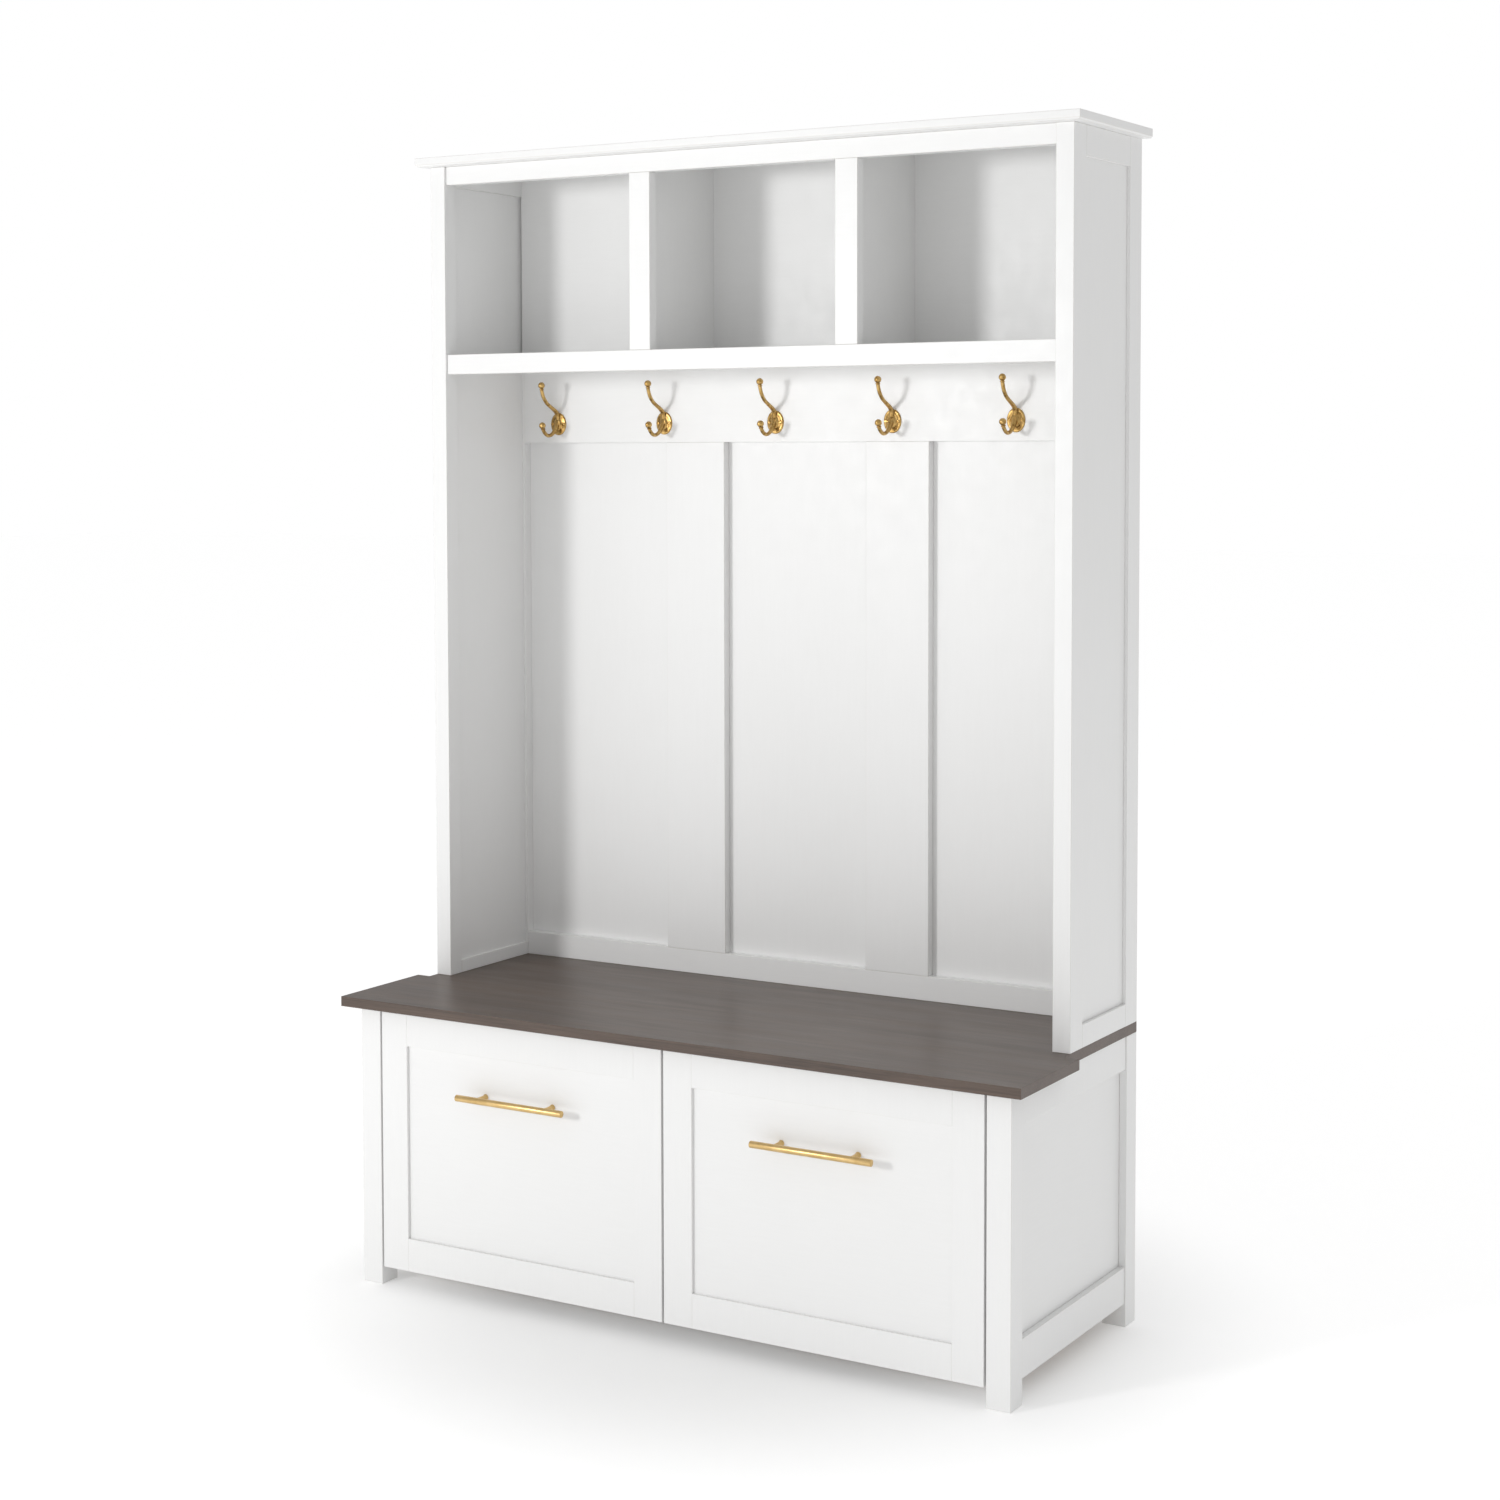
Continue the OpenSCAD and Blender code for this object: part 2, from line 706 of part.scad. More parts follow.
leg_front_left();
leg_front_right();
leg_rear_left();
leg_rear_right();
base_side_panel_left();
base_side_panel_right();
base_side_rails_left();
base_side_rails_right();
base_back_panel();
base_centre_board();
base_front_stretchers();
base_rear_stretchers();
bench_top();
left_drawer_front_frame();
left_drawer_front_field();
left_drawer_sides();
left_drawer_back();
left_drawer_bottom();
left_handle();
left_handle_screws();
right_drawer_front_frame();
right_drawer_front_field();
right_drawer_sides();
right_drawer_back();
right_drawer_bottom();
right_handle();
right_handle_screws();
left_runner_cabinet_members();
left_runner_middle_members();
left_runner_drawer_members();
right_runner_cabinet_members();
right_runner_middle_members();
right_runner_drawer_members();
hutch_front_post_left();
hutch_front_post_right();
hutch_rear_post_left();
hutch_rear_post_right();
hutch_side_panel_left();
hutch_side_panel_right();
hutch_side_rails_left();
hutch_side_rails_right();
hutch_back_panel();
hook_rail();
back_batten_left();
back_batten_right();
back_low_rail();
cubby_back_board();
shelf_board();
shelf_front_rail();
top_front_rail();
divider_board_left();
divider_board_right();
divider_stiles();
crown();
hook_1();
hook_2();
hook_3();
hook_4();
hook_5();
hook_screws();
hutch_dowels();
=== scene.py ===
"""Looks for the hall tree: softened painted boards, a dark walnut bench, brass hooks and bar handles.

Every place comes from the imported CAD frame. Lengths are in metres.
"""

import json
import math

import bmesh
import bpy
from mathutils import Matrix, Vector


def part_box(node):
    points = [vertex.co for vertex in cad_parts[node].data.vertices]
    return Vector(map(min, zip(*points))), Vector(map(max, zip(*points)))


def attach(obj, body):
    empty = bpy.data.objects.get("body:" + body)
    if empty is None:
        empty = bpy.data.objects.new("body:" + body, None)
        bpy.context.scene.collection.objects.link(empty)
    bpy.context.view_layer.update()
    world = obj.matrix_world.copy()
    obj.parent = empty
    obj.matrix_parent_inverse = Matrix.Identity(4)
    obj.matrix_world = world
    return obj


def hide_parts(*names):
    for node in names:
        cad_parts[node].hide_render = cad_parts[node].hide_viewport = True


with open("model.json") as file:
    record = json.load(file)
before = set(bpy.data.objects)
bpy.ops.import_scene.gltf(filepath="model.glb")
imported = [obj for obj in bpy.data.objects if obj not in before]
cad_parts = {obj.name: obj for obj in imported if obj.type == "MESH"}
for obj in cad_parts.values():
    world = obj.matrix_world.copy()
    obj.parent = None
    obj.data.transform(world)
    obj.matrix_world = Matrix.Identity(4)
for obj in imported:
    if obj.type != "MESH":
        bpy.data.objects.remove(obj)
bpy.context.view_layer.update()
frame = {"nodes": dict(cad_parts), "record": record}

MM = 0.001
SIDES = ("left", "right")
BODY_OF = {n: body for body, nodes in frame["record"]["behaviour"]["bodies"].items() for n in nodes}

# ---- Camera and light ----

CAMERA_AT = (2.079, -3.443, 1.343)
CAMERA_YAW = 30.765
CAMERA_TILT = 3.062
CAMERA_ROLL = 0.111
CAMERA_LENS = 61.95
CAMERA_SHIFT_Y = -0.106
SENSOR_WIDTH = 36


def add_camera():
    data = bpy.data.cameras.new("camera")
    data.lens = CAMERA_LENS
    data.sensor_width = SENSOR_WIDTH
    data.shift_y = CAMERA_SHIFT_Y
    camera = bpy.data.objects.new("camera", data)
    bpy.context.scene.collection.objects.link(camera)
    turn = Matrix.Rotation(math.radians(CAMERA_YAW), 4, "Z")
    tilt = Matrix.Rotation(math.radians(90 - CAMERA_TILT), 4, "X")
    roll = Matrix.Rotation(math.radians(-CAMERA_ROLL), 4, "Z")
    camera.matrix_world = Matrix.Translation(CAMERA_AT) @ turn @ tilt @ roll
    bpy.context.scene.camera = camera


# The one lamp stands to the left of the front. Its diameter is in metres and its power in watts.
KEY_AT = (-2.0, -4.25, 1.6)
KEY_AIM = (0, 0.1, 0.8)
KEY_DIAMETER = 0.8
KEY_POWER = 65
# The room's own light overhead, and the share of it that comes from the horizon
AMBIENT = 0.72
HORIZON_LEVEL = 0.65
HORIZON_TOP = 0.05
OVERHEAD_FROM = 0.75


def add_key_light():
    data = bpy.data.lights.new("key", "AREA")
    data.shape = "DISK"
    data.size = KEY_DIAMETER
    data.energy = KEY_POWER
    light = bpy.data.objects.new("key", data)
    bpy.context.scene.collection.objects.link(light)
    direction = Vector(KEY_AIM) - Vector(KEY_AT)
    light.rotation_euler = direction.to_track_quat("-Z", "Y").to_euler()
    light.location = KEY_AT


def add_world():
    """A white room: plain white where it is seen; as a light, softer, and dimmer towards the horizon."""
    world = bpy.data.worlds.new("studio")
    world.use_nodes = True
    tree = world.node_tree

    def map_range(source, low, high, to_low, to_high):
        node = tree.nodes.new("ShaderNodeMapRange")
        ends = {"From Min": low, "From Max": high, "To Min": to_low, "To Max": to_high}
        for key, value in ends.items():
            if isinstance(value, bpy.types.NodeSocket):
                tree.links.new(value, node.inputs[key])
            else:
                node.inputs[key].default_value = value
        tree.links.new(source, node.inputs["Value"])
        return node.outputs["Result"]

    direction = tree.nodes.new("ShaderNodeSeparateXYZ")
    towards = tree.nodes.new("ShaderNodeTexCoord").outputs["Generated"]
    tree.links.new(towards, direction.inputs["Vector"])
    height = direction.outputs["Z"]
    light = map_range(height, HORIZON_TOP, OVERHEAD_FROM, AMBIENT * HORIZON_LEVEL, AMBIENT)
    seen = tree.nodes.new("ShaderNodeLightPath").outputs["Is Camera Ray"]
    background = tree.nodes["Background"]
    background.inputs["Color"].default_value = (1, 1, 1, 1)
    tree.links.new(map_range(seen, 0, 1, light, 1), background.inputs["Strength"])
    bpy.context.scene.world = world


FLOOR_REACH = 30


def add_floor(material):
    mesh = bpy.data.meshes.new("floor")
    corners = [(x * FLOOR_REACH, y * FLOOR_REACH, 0) for x, y in ((-1, -1), (1, -1), (1, 1), (-1, 1))]
    mesh.from_pydata(corners, [], [(0, 1, 2, 3)])
    floor = bpy.data.objects.new("floor", mesh)
    floor.data.materials.append(material)
    bpy.context.scene.collection.objects.link(floor)


# ---- Materials ----


class Shader:
    """A Principled material under construction, with short calls for its nodes."""

    def __init__(self, name):
        self.material = bpy.data.materials.new(name)
        self.material.use_nodes = True
        self.tree = self.material.node_tree
        self.bsdf = self.tree.nodes["Principled BSDF"]
        coordinates = self.node("ShaderNodeTexCoord")
        self.place = coordinates.outputs["Object"]

    def node(self, kind, **settings):
        node = self.tree.nodes.new(kind)
        for key, value in settings.items():
            setattr(node, key, value)
        return node

    def link(self, source, target):
        self.tree.links.new(source, target)

    def stretched(self, scale):
        mapping = self.node("ShaderNodeMapping")
        mapping.inputs["Scale"].default_value = scale
        self.link(self.place, mapping.inputs["Vector"])
        return mapping.outputs["Vector"]

    def noise(self, scale, stretch=(1, 1, 1), detail=4, roughness=0.5, distortion=0):
        noise = self.node("ShaderNodeTexNoise")
        noise.inputs["Scale"].default_value = scale
        noise.inputs["Detail"].default_value = detail
        noise.inputs["Roughness"].default_value = roughness
        noise.inputs["Distortion"].default_value = distortion
        self.link(self.stretched(stretch), noise.inputs["Vector"])
        return noise.outputs["Fac"]

    def ramp(self, source, stops):
        ramp = self.node("ShaderNodeValToRGB")
        elements = ramp.color_ramp.elements
        while len(elements) < len(stops):
            elements.new(0.5)
        for element, (position, colour) in zip(elements, stops):
            element.position = position
            element.color = (*colour, 1)
        self.link(source, ramp.inputs["Fac"])
        return ramp.outputs["Color"]

    def mix(self, share, a, b):
        """From colour a, at a share of 0, to colour b, at 1. Each is a number, a colour or a socket."""
        mix = self.node("ShaderNodeMix", data_type="RGBA")
        for value, key in ((share, "Factor"), (a, "A"), (b, "B")):
            socket = mix.inputs[key]
            if isinstance(value, (int, float)):
                socket.default_value = value
            elif isinstance(value, tuple):
                socket.default_value = (*value, 1)
            else:
                self.link(value, socket)
        return mix.outputs["Result"]

    def span(self, source, low, high, start=0, end=1, curve="LINEAR"):
        """A value that goes from low to high while the source goes from start to end."""
        span = self.node("ShaderNodeMapRange", interpolation_type=curve)
        for key, value in (("From Min", start), ("From Max", end), ("To Min", low), ("To Max", high)):
            span.inputs[key].default_value = value
        self.link(source, span.inputs["Value"])
        return span.outputs["Result"]

    def sharpness(self, low, high):
        """0 in the flats and 1 on the outer edges, from the surface's pointiness."""
        geometry = self.node("ShaderNodeNewGeometry")
        return self.span(geometry.outputs["Pointiness"], 0, 1, low, high)

    def rounded_edges(self, amount):
        """The marks that mark_edges leaves on a piece's rounded edges, scaled by amount, for a tint on those
        edges.
        """
        marks = self.node("ShaderNodeAttribute", attribute_name="rounded_edges")
        return self.span(marks.outputs["Fac"], 0, amount)

    def bump(self, height, depth, strength=1, under=None):
        bump = self.node("ShaderNodeBump")
        bump.inputs["Strength"].default_value = strength
        bump.inputs["Distance"].default_value = depth
        self.link(height, bump.inputs["Height"])
        if under:
            self.link(under, bump.inputs["Normal"])
        return bump.outputs["Normal"]

    def finish(self, colour, roughness, normal, metallic=0, coat=0, coat_roughness=0.2):
        """Connects what varies over the surface, sets what does not, and gives the material."""
        self.link(colour, self.bsdf.inputs["Base Color"])
        self.link(roughness, self.bsdf.inputs["Roughness"])
        self.link(normal, self.bsdf.inputs["Normal"])
        self.bsdf.inputs["Metallic"].default_value = metallic
        self.bsdf.inputs["Coat Weight"].default_value = coat
        self.bsdf.inputs["Coat Roughness"].default_value = coat_roughness
        return self.material


# How far a board's brush marks are drawn out along each axis
ALONG = {"X": (0.06, 1, 1), "Y": (1, 0.06, 1), "Z": (1, 1, 0.06)}


def painted(axis):
    """Satin white paint on a board, brushed along the board's own length, with painted shade on its rounded
    edges.
    """
    s = Shader(f"white_paint_{axis.lower()}")
    broad = s.noise(2.6, detail=3)
    tint = s.ramp(broad, [(0.3, (0.826, 0.826, 0.820)), (0.7, (0.842, 0.842, 0.838))])
    streaks = s.noise(260, ALONG[axis], detail=5, roughness=0.6)
    marks = s.ramp(streaks, [(0.35, (0.74, 0.735, 0.72)), (0.65, (0.90, 0.90, 0.89))])
    colour = s.mix(0.05, tint, marks)
    # Painted shade: the rounded edges are tinted darker, so that they read as fine shade lines along the
    # edges and joints.
    tinted = s.mix(s.rounded_edges(0.55), colour, (0.70, 0.68, 0.64))
    stipple = s.noise(1400, detail=2)
    brushed = s.bump(streaks, 0.00018, 0.35)
    normal = s.bump(stipple, 0.00006, 0.30, under=brushed)
    return s.finish(tinted, s.span(s.noise(40, detail=3), 0.30, 0.46), normal)


def walnut():
    """Dark stained walnut, its grain along X, under a satin lacquer."""
    s = Shader("walnut_top")
    figure = s.noise(11, (0.09, 1, 1), detail=6, roughness=0.62, distortion=1.5)
    fibres = s.noise(420, (0.02, 1, 1), detail=4, roughness=0.7)
    bands = s.ramp(figure, [(0.30, (0.050, 0.030, 0.020)), (0.50, (0.082, 0.052, 0.036)),
                            (0.68, (0.112, 0.074, 0.053))])
    threads = s.ramp(fibres, [(0.38, (0.026, 0.015, 0.010)), (0.62, (0.125, 0.083, 0.060))])
    colour = s.mix(0.38, bands, threads)
    # The rounded edges are tinted a little lighter.
    tinted = s.mix(s.rounded_edges(0.7), colour, (0.13, 0.086, 0.060))
    pores = s.bump(fibres, 0.00025, 0.5)
    sheen = s.span(s.noise(30, (0.2, 1, 1), detail=4), 0.34, 0.50)
    return s.finish(tinted, sheen, pores, coat=0.25, coat_roughness=0.3)


def aged_brass():
    """Cast brass, dark in the recesses and rubbed bright on the high spots."""
    s = Shader("aged_brass")
    patches = s.noise(150, detail=4)
    gold = s.ramp(patches, [(0.35, (0.40, 0.235, 0.07)), (0.65, (0.66, 0.44, 0.165))])
    colour = s.mix(s.sharpness(0.42, 0.53), (0.11, 0.056, 0.016), gold)
    grain = s.bump(s.noise(900, detail=3), 0.00012, 0.35)
    return s.finish(colour, s.span(patches, 0.20, 0.38), grain, metallic=1)


def satin_brass():
    """Turned brass, brushed round the bar, with painted shade in its hollows."""
    s = Shader("satin_brass")
    lines = s.noise(900, (0.8, 0.03, 0.03), detail=3, roughness=0.7)
    colour = s.ramp(s.noise(60, detail=3), [(0.3, (0.62, 0.42, 0.17)), (0.7, (0.74, 0.53, 0.25))])
    # Painted shade: the hollows, where the posts meet the bar, are tinted dark.
    tinted = s.mix(s.sharpness(0.42, 0.50), (0.34, 0.20, 0.07), colour)
    return s.finish(tinted, s.span(lines, 0.26, 0.42), s.bump(lines, 0.00006, 0.4), metallic=1)


def zinc_steel():
    """Cold-rolled zinc-plated sheet with a faint spangle."""
    s = Shader("zinc_steel")
    spangle = s.noise(180, detail=5, distortion=0.8)
    colour = s.ramp(spangle, [(0.3, (0.50, 0.51, 0.53)), (0.7, (0.66, 0.67, 0.69))])
    rolled = s.noise(1200, (1, 0.02, 1), detail=2)
    return s.finish(colour, s.span(spangle, 0.26, 0.44), s.bump(rolled, 0.00005, 0.4), metallic=1)


def birch(thickness_axis):
    """Birch plywood: veneer on the faces, its layers on the edges across the thickness."""
    s = Shader(f"birch_{thickness_axis.lower()}")
    across = {"X": (1, 0, 0), "Y": (0, 1, 0), "Z": (0, 0, 1)}[thickness_axis]
    wave = s.node("ShaderNodeTexWave", wave_type="BANDS", bands_direction="DIAGONAL")
    wave.inputs["Scale"].default_value = 330
    wave.inputs["Distortion"].default_value = 0.4
    s.link(s.stretched(across), wave.inputs["Vector"])
    stretch = (1, 0.08, 1) if thickness_axis != "Y" else (0.08, 1, 1)
    veneer = s.noise(34, stretch, detail=6, roughness=0.6, distortion=0.7)
    face = s.ramp(veneer, [(0.32, (0.60, 0.44, 0.27)), (0.68, (0.76, 0.62, 0.43))])
    colour = s.mix(s.span(wave.outputs["Fac"], 0.0, 0.45), face, (0.42, 0.28, 0.16))
    return s.finish(colour, s.span(veneer, 0.38, 0.52), s.bump(veneer, 0.00015, 0.4))


def glowing_floor_paper():
    """White paper that glows, a painted light with no lamp, faintly near the object and more further out, so
    that it melts into the white room away from the object.
    """
    s = Shader("glowing_floor_paper")
    fine = s.noise(500, detail=2)
    colour = s.ramp(fine, [(0.3, (0.92, 0.92, 0.92)), (0.7, (0.93, 0.93, 0.93))])
    distance = s.node("ShaderNodeVectorMath", operation="LENGTH")
    s.link(s.place, distance.inputs[0])
    # Painted light: the floor's glow, weak near the object and strong towards the room; it also lights the
    # object from below.
    glow = s.span(distance.outputs["Value"], 0.07, 0.38, start=0.3, end=0.95, curve="SMOOTHSTEP")
    s.bsdf.inputs["Emission Color"].default_value = (1, 1, 1, 1)
    s.link(glow, s.bsdf.inputs["Emission Strength"])
    return s.finish(colour, s.span(fine, 0.75, 0.85), s.bump(fine, 0.0001, 0.1))


PAINT = {axis: painted(axis) for axis in ALONG}
PLY = {axis: birch(axis) for axis in "XYZ"}
WALNUT = walnut()
AGED_BRASS = aged_brass()
SATIN_BRASS = satin_brass()
ZINC = zinc_steel()

# ---- Meshes ----


def new_object(name, build, material):
    """An object whose mesh is filled by build(bm)."""
    mesh = bpy.data.meshes.new(name)
    bm = bmesh.new()
    build(bm)
    bm.to_mesh(mesh)
    bm.free()
    piece = bpy.data.objects.new(name, mesh)
    mesh.materials.append(material)
    bpy.context.scene.collection.objects.link(piece)
    return piece


def baked(piece):
    """Applies the modifiers on a piece."""
    bpy.context.view_layer.update()
    graph = bpy.context.evaluated_depsgraph_get()
    mesh = bpy.data.meshes.new_from_object(piece.evaluated_get(graph), depsgraph=graph)
    piece.modifiers.clear()
    piece.data = mesh
    return piece


EDGE_SEGMENTS = 3
# A strip counts as a rounded edge while it is narrower than this share of the edge's width
STRIP_SHARE = 0.8


def soften(piece, width):
    """Rounds a piece's sharp edges and keeps its flat faces flat."""
    piece.data.polygons.foreach_set("use_smooth", [True] * len(piece.data.polygons))
    bevel = piece.modifiers.new("bevel", "BEVEL")
    bevel.width = width
    bevel.segments = EDGE_SEGMENTS
    bevel.limit_method = "ANGLE"
    bevel.angle_limit = math.radians(30)
    bevel.use_clamp_overlap = True
    piece.modifiers.new("normals", "WEIGHTED_NORMAL").keep_sharp = False
    return mark_edges(baked(piece), width)


def mark_edges(piece, width):
    """Marks the points that lie only in the narrow strips of the rounded edges, for the tint on those edges.
    """
    mesh = piece.data
    marks = [1.0] * len(mesh.vertices)
    for face in mesh.polygons:
        around = 0
        for i in face.loop_indices:
            start, end = mesh.edges[mesh.loops[i].edge_index].vertices
            around += (mesh.vertices[start].co - mesh.vertices[end].co).length
        if 2 * face.area / around > STRIP_SHARE * width:
            for vertex in face.vertices:
                marks[vertex] = 0.0
    mesh.attributes.new("rounded_edges", "FLOAT", "POINT").data.foreach_set("value", marks)
    return piece


def copy_of_node(name, node, material):
    """A copy of a CAD node's mesh with clean flat faces."""

    def build(bm):
        bm.from_mesh(frame["nodes"][node].data)
        bmesh.ops.remove_doubles(bm, verts=bm.verts, dist=0.02 * MM)
        bmesh.ops.dissolve_limit(bm, angle_limit=math.radians(1), verts=bm.verts, edges=bm.edges)

    return new_object(name, build, material)


def add_block(bm, low, high):
    size = Vector(high) - Vector(low)
    middle = (Vector(high) + Vector(low)) / 2
    place = Matrix.Translation(middle) @ Matrix.Diagonal((*size, 1))
    return bmesh.ops.create_cube(bm, size=1, matrix=place)["verts"]


def stand_in(piece, node):
    """The piece moves with the node's body, and is shown in the node's place."""
    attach(piece, BODY_OF[node])
    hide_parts(node)


def axis_of(node, pick):
    """The axis of a node's largest side, when pick is max, or of its smallest, when pick is min."""
    low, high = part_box(node)
    size = high - low
    return "XYZ"[pick(range(3), key=lambda i: size[i])]


def add_board(node, material, edge):
    piece = copy_of_node("soft_" + node, node, material)
    stand_in(soften(piece, edge), node)


# ---- Painted boards, bench and drawer boxes ----

BOARD_EDGE = 0.9 * MM
PANEL_EDGE = 0.4 * MM
BENCH_EDGE = 1.6 * MM
SHEET_EDGE = 0.25 * MM


FRAME_EDGE = 0.35 * MM
THIN_BOARDS = ("panel", "field", "board")
SLOT_OF = {s["node"]: s["material_slot"] for s in frame["record"]["subparts"]}


def add_painted_boards():
    for node, slot in SLOT_OF.items():
        if slot == "white_paint" and not node.endswith("front_frame"):
            edge = PANEL_EDGE if any(word in node for word in THIN_BOARDS) else BOARD_EDGE
            add_board(node, PAINT[axis_of(node, max)], edge)


def add_plywood():
    for node, slot in SLOT_OF.items():
        if slot == "birch":
            axis = "X" if node.endswith("sides") or node == "hutch_dowels" else axis_of(node, min)
            add_board(node, PLY[axis], PANEL_EDGE)


def add_front_frame(side):
    """Two stiles and two rails, each with its own softened edges, so their joints read as fine lines."""
    node = side + "_drawer_front_frame"
    low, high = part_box(node)
    field_low, field_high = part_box(side + "_drawer_front_field")
    stiles = [((low.x, low.y, low.z), (field_low.x, high.y, high.z)),
              ((field_high.x, low.y, low.z), (high.x, high.y, high.z))]
    rails = [((field_low.x, low.y, low.z), (field_high.x, high.y, field_low.z)),
             ((field_low.x, low.y, field_high.z), (field_high.x, high.y, high.z))]

    def build(bm):
        for low_corner, high_corner in stiles + rails:
            add_block(bm, low_corner, high_corner)

    piece = new_object("shaker_" + node, build, PAINT["Z"])
    stand_in(soften(piece, FRAME_EDGE), node)


# ---- Brass and steel ----


def turns_of(segments):
    """The angles of a circle's corners."""
    return [2 * math.pi * k / segments for k in range(segments)]


def scaled(profile):
    """A profile given in millimetres, in metres."""
    return [(radius * MM, height * MM) for radius, height in profile]


def facing_front(place):
    """A place whose local Z points out of the object's front."""
    return Matrix.Translation(place) @ Matrix.Rotation(math.radians(90), 4, "X")


def lathe(bm, profile, place, segments):
    """Turns a profile of (radius, height) points about Z, then puts it at place."""
    rings = []
    for radius, height in profile:
        if radius < 1e-7:
            rings.append([bm.verts.new(place @ Vector((0, 0, height)))])
        else:
            ring = [(radius * math.cos(t), radius * math.sin(t), height) for t in turns_of(segments)]
            rings.append([bm.verts.new(place @ Vector(point)) for point in ring])
    for lower, upper in zip(rings, rings[1:]):
        for k in range(segments):
            n = (k + 1) % segments
            loop = [ring[i % len(ring)] for ring, i in ((lower, k), (lower, n), (upper, n), (upper, k))]
            loop = list(dict.fromkeys(loop))
            if len(loop) > 2:
                bm.faces.new(loop)


def sweep(bm, points, radii, segments):
    """A closed tube through points in one plane x = constant, of changing radius."""
    rings = []
    for i, point in enumerate(points):
        ahead = points[min(i + 1, len(points) - 1)] - points[max(i - 1, 0)]
        ahead.normalize()
        side = Vector((1, 0, 0))
        up = side.cross(ahead)
        ring = [point + radii[i] * (math.cos(t) * side + math.sin(t) * up) for t in turns_of(segments)]
        rings.append([bm.verts.new(corner) for corner in ring])
    for lower, upper in zip(rings, rings[1:]):
        for k in range(segments):
            n = (k + 1) % segments
            bm.faces.new((lower[k], lower[n], upper[n], upper[k]))
    bm.faces.new(reversed(rings[0]))
    bm.faces.new(rings[-1])


def curve_points(controls, steps=10):
    """A smooth path through control points (Catmull-Rom)."""
    padded = [2 * controls[0] - controls[1], *controls, 2 * controls[-1] - controls[-2]]
    path = []
    for a, b, c, d in zip(padded, padded[1:], padded[2:], padded[3:]):
        for k in range(steps):
            t = k / steps
            path.append(0.5 * (2 * b + (c - a) * t + (2 * a - 5 * b + 4 * c - d) * t ** 2
                               + (3 * b - a - 3 * c + d) * t ** 3))
    return path + [controls[-1]]


def joined(name, builds, material):
    """One piece from several closed shapes, joined into a single skin."""
    parts = [new_object(f"{name}_{i}", build, material) for i, build in enumerate(builds)]
    for part in parts:
        bm = bmesh.new()
        bm.from_mesh(part.data)
        bmesh.ops.recalc_face_normals(bm, faces=bm.faces)
        bm.to_mesh(part.data)
        bm.free()
    base = parts[0]
    for part in parts[1:]:
        union = base.modifiers.new("union", "BOOLEAN")
        union.operation = "UNION"
        union.solver = "EXACT"
        union.object = part
        baked(base)
    for part in parts[1:]:
        bpy.data.objects.remove(part)
    base.name = name
    return base


def smooth(piece, degrees=35):
    piece.data.shade_smooth()
    piece.data.set_sharp_from_angle(angle=math.radians(degrees))
    return piece


def sphere_profile(radius, count=14):
    angles = [math.pi * k / count - math.pi / 2 for k in range(count + 1)]
    return [(max(0, radius * math.cos(a)), radius * math.sin(a)) for a in angles]


def slotted_head(name, radius, height, place, material):
    """A domed screw head with a slot across it, its flat side at place and its dome along local Z."""
    dome = [(0, 0), (radius, 0), (radius, 0.35 * height), (0.86 * radius, 0.72 * height),
            (0.55 * radius, 0.93 * height), (0, height)]

    def turned(bm):
        lathe(bm, dome, place, 32)

    def slot(bm):
        low, high = (-2 * radius, -0.13 * radius, 0.45 * height), (2 * radius, 0.13 * radius, 2 * height)
        bmesh.ops.transform(bm, matrix=place, verts=add_block(bm, low, high))

    head = new_object(name, turned, material)
    cutter = new_object(name + "_slot", slot, material)
    cut = head.modifiers.new("slot", "BOOLEAN")
    cut.operation = "DIFFERENCE"
    cut.solver = "EXACT"
    cut.object = cutter
    baked(head)
    bpy.data.objects.remove(cutter)
    return head


# Outline of a coat hook in its own plane: (out from the rail, up from the plate's centre), in mm
UPPER_ARM = [(1.5, 6), (5, 14), (11, 19.5), (24, 26), (36, 32.5), (45, 42), (50, 53), (51, 62)]
LOWER_ARM = [(1.5, 1), (8, -8), (16, -17.5), (26, -22.5), (36, -22), (45, -15.5), (49, -6)]
ARM_RADII = (4.6, 3.1, 3.0)
BALL_RADIUS = 5.7
# The ring round the arm's neck, and how far it stands from the ball's middle
COLLAR = [(0, -0.9), (3.2, -0.9), (4.0, -0.4), (4.0, 0.4), (3.2, 0.9), (0, 0.9)]
COLLAR_BACK = 6.6 * MM
# How far the arms' zero point is above the plate's centre
ARMS_RISE = 3 * MM
# The plate is an oval, this much taller than wide. Its profile is in shares of its half width and thickness.
PLATE_TALLER = 38 / 31
PLATE_T = 3.5 * MM
PLATE_DOME = [(0, 0), (1, 0), (1, 0.35), (0.95, 0.62), (0.86, 0.72), (0.80, 0.70), (0.72, 0.82),
              (0.4, 0.96), (0, 1)]
HUB = [(0, 0), (8.2, 0), (8.2, 3.2), (7.0, 4.6), (5.2, 5.6), (0, 6.2)]
HUB_TALLER = 1.35
HOOK_NUMBERS = range(1, 6)


def arm_shape(outline, centre):
    """The swept arm, thick at the plate and slender before its ball."""
    controls = [centre + Vector((0, -out * MM, up * MM)) for out, up in outline]
    path = curve_points(controls)
    root, waist, tip = (r * MM for r in ARM_RADII)
    last = len(path) - 1
    radii = []
    for i in range(len(path)):
        t = i / last
        radii.append(root + (waist - root) * min(1, 2.2 * t) ** 0.7 + (tip - waist) * max(0, 2 * t - 1))

    def arm(bm):
        sweep(bm, path, radii, 24)

    def ball(bm):
        lathe(bm, sphere_profile(BALL_RADIUS * MM), Matrix.Translation(path[-1]), 32)

    def collar(bm):
        heading = (path[-1] - path[-4]).normalized()
        turn = Vector((0, 0, 1)).rotation_difference(heading).to_matrix().to_4x4()
        place = Matrix.Translation(path[-1] - heading * COLLAR_BACK) @ turn
        lathe(bm, scaled(COLLAR), place, 24)

    return [arm, ball, collar]


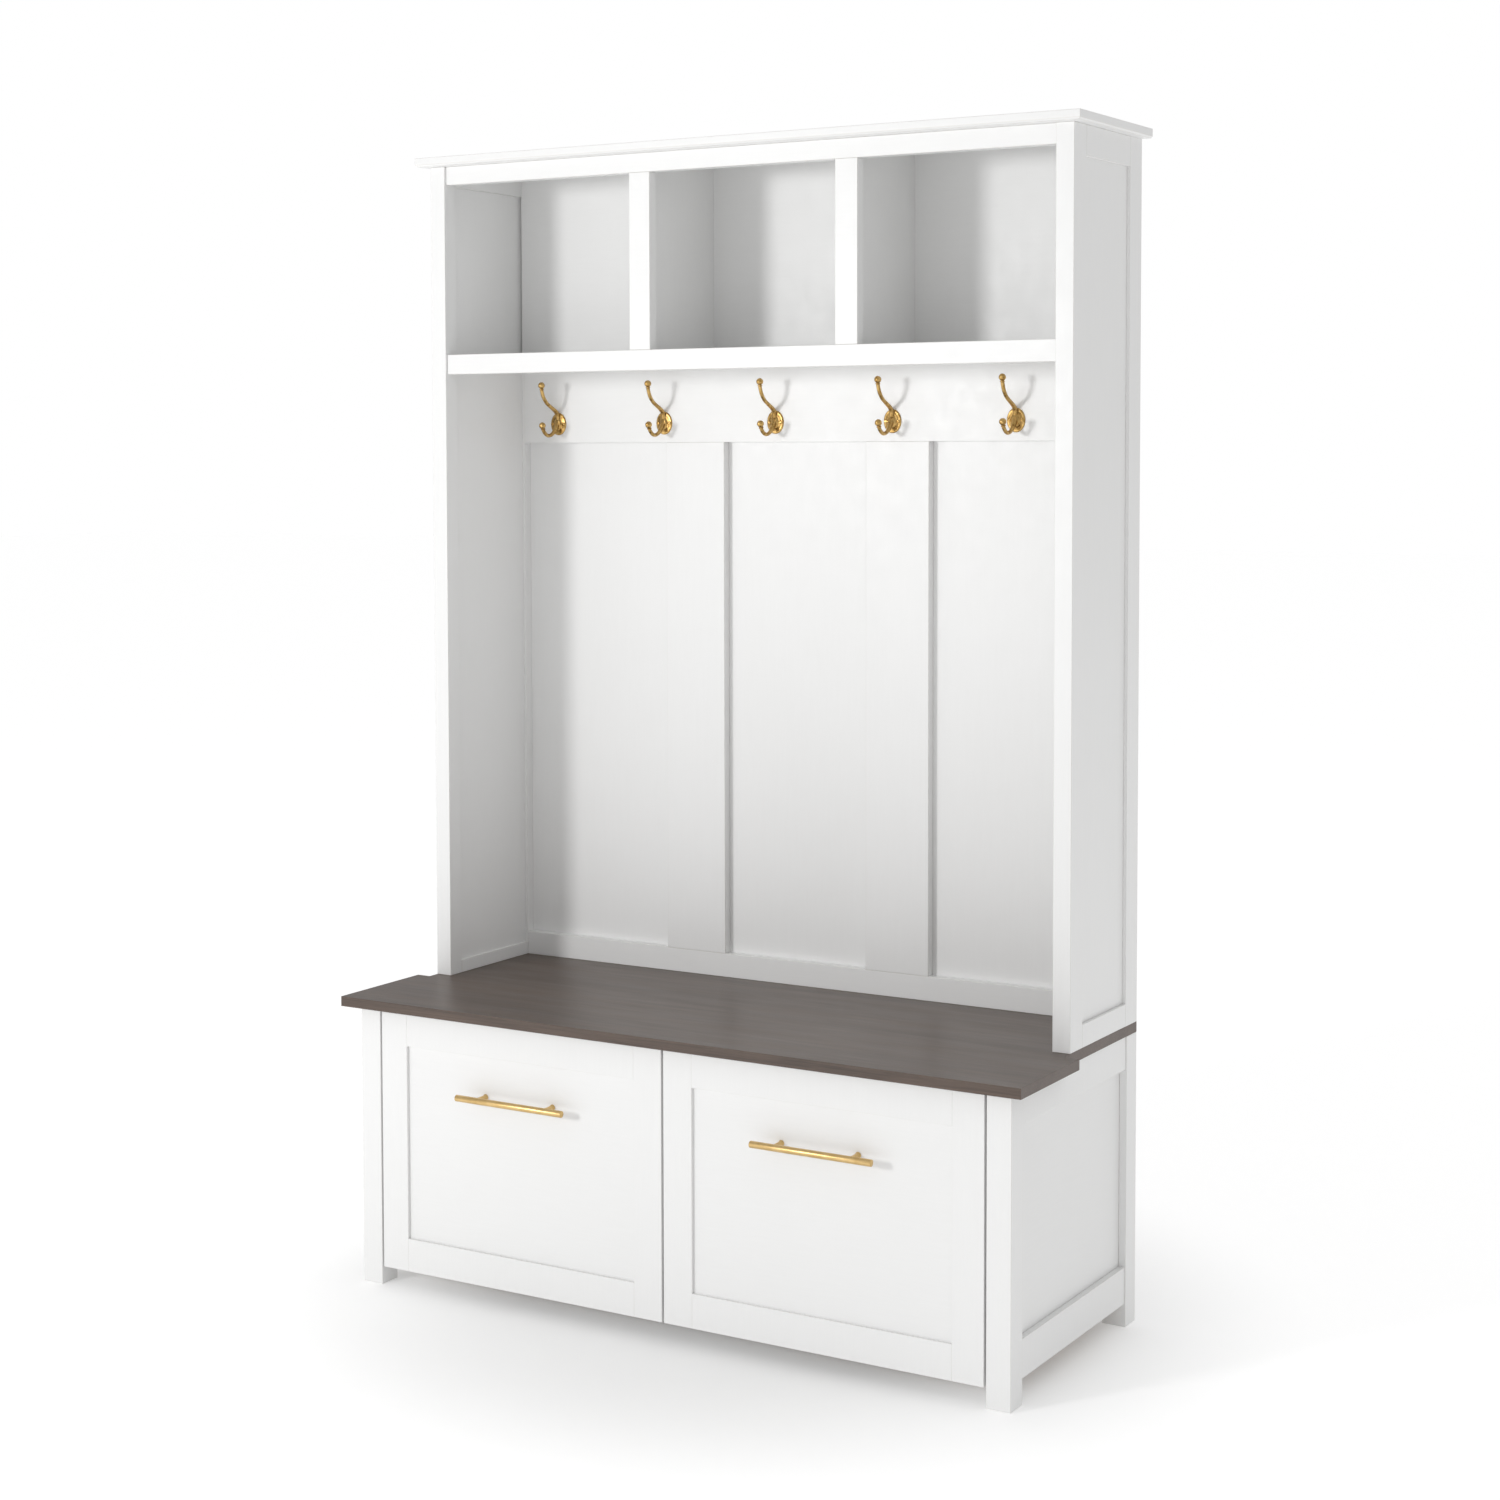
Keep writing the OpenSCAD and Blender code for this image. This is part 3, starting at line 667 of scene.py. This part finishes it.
def add_hook(number):
    node = f"hook_{number}"
    low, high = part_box(node)
    screws_low, screws_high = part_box("hook_screws")
    half_width = (high.x - low.x) / 2
    centre = Vector(((low.x + high.x) / 2, high.y, (screws_low.z + screws_high.z) / 2))
    facing = facing_front(centre)

    def plate(bm):
        oval = facing @ Matrix.Diagonal((half_width, half_width * PLATE_TALLER, PLATE_T, 1))
        lathe(bm, PLATE_DOME, oval, 56)

    def boss(bm):
        lathe(bm, scaled(HUB), facing @ Matrix.Diagonal((1, HUB_TALLER, 1, 1)), 36)

    arms_at = centre + Vector((0, 0, ARMS_RISE))
    shapes = [plate, boss, *arm_shape(UPPER_ARM, arms_at), *arm_shape(LOWER_ARM, arms_at)]
    piece = smooth(joined("cast_" + node, shapes, AGED_BRASS), 40)
    stand_in(piece, node)


# A hook's screws: how far each is from the plate's centre, and the head's seat, radius and height
SCREW_OFFSET = 11 * MM
HEAD_SEAT = 0.9 * MM
HEAD_RADIUS = 3.1 * MM
HEAD_HEIGHT = 1.7 * MM


def add_hook_screws():
    """The screws' slotted heads on the hooks' plates, each slot at its own angle."""
    low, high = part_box("hook_screws")
    heads = []
    for number in HOOK_NUMBERS:
        hook_low, hook_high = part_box(f"hook_{number}")
        x = (hook_low.x + hook_high.x) / 2
        for side in (-1, 1):
            at = Vector((x + side * SCREW_OFFSET, low.y + HEAD_SEAT, (low.z + high.z) / 2))
            slot_turn = Matrix.Rotation(math.radians(25 + 47 * number + 31 * side), 4, "Z")
            place = facing_front(at) @ slot_turn
            name = f"head_{number}_{side}"
            heads.append(slotted_head(name, HEAD_RADIUS, HEAD_HEIGHT, place, AGED_BRASS))
    piece = merged("hook_screw_heads", heads)
    stand_in(smooth(piece), "hook_screws")


def merged(name, pieces):
    """One object from several, as separate shells."""
    bm = bmesh.new()
    for piece in pieces:
        bm.from_mesh(piece.data)
    base = pieces[0]
    bm.to_mesh(base.data)
    bm.free()
    for piece in pieces[1:]:
        bpy.data.objects.remove(piece)
    base.name = name
    return base


# How much of a bar's end is rounded, and how far a post's centre is inside its screw's outer side
BAR_END = 1.0 * MM
POST_INSIDE = 4 * MM


def add_handle(side):
    """A turned bar with rounded ends on two posts that flare where they meet the drawer front."""
    node = side + "_handle"
    low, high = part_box(node)
    radius = (high.z - low.z) / 2
    length = high.x - low.x
    middle = (low.x + high.x) / 2
    axis_y = low.y + radius
    axis_z = (low.z + high.z) / 2
    screws_low, screws_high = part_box(side + "_handle_screws")
    post_x = (screws_high.x - screws_low.x) / 2 - POST_INSIDE
    reach = high.y - axis_y

    def bar(bm):
        place = Matrix.Translation((low.x, axis_y, axis_z)) @ Matrix.Rotation(math.radians(90), 4, "Y")
        c = BAR_END
        profile = [(0, 0), (radius - c, 0), (radius - 0.3 * c, 0.3 * c), (radius, c), (radius, length - c),
                   (radius - 0.3 * c, length - 0.3 * c), (radius - c, length), (0, length)]
        lathe(bm, profile, place, 48)

    def post(offset):
        def turned(bm):
            end = reach / MM
            shape = [(0, 0), (4.5, 0), (4.8, 0.3), (4.8, 1.2), (4.3, 1.7), (3.8, 3), (3.5, 8), (3.4, 14),
                     (3.6, end - 6), (3.9, end - 3), (0, end)]
            lathe(bm, scaled(shape), facing_front((middle + offset, high.y, axis_z)), 36)

        return turned

    piece = smooth(joined("bar_" + node, [bar, post(-post_x), post(post_x)], SATIN_BRASS), 30)
    stand_in(piece, node)


# A handle screw's head: its height, and how far its seat is from the screw's rear end
PAN_HEIGHT = 2.4 * MM
PAN_SEAT = 2.5 * MM


def add_handle_screws(side):
    """The slotted heads inside the drawer front."""
    node = side + "_handle_screws"
    low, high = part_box(node)
    radius = (high.z - low.z) / 2
    heads = []
    for i, x in enumerate((low.x + radius, high.x - radius)):
        at = Vector((x, high.y - PAN_SEAT, (low.z + high.z) / 2))
        facing_back = Matrix.Translation(at) @ Matrix.Rotation(math.radians(-90), 4, "X")
        slot_turn = Matrix.Rotation(math.radians(20 + 70 * i), 4, "Z")
        heads.append(slotted_head(f"{side}_head_{i}", radius, PAN_HEIGHT, facing_back @ slot_turn, ZINC))
    stand_in(smooth(merged("heads_" + node, heads)), node)


def add_runners():
    for node in [n for n in frame["nodes"] if "_runner_" in n]:
        add_board(node, ZINC, SHEET_EDGE)


add_camera()
add_world()
add_key_light()
add_floor(glowing_floor_paper())
bpy.context.scene.view_settings.view_transform = "Standard"

add_painted_boards()
add_board("bench_top", WALNUT, BENCH_EDGE)
add_plywood()
add_runners()
for side in SIDES:
    add_front_frame(side)
    add_handle(side)
    add_handle_screws(side)
for number in HOOK_NUMBERS:
    add_hook(number)
add_hook_screws()
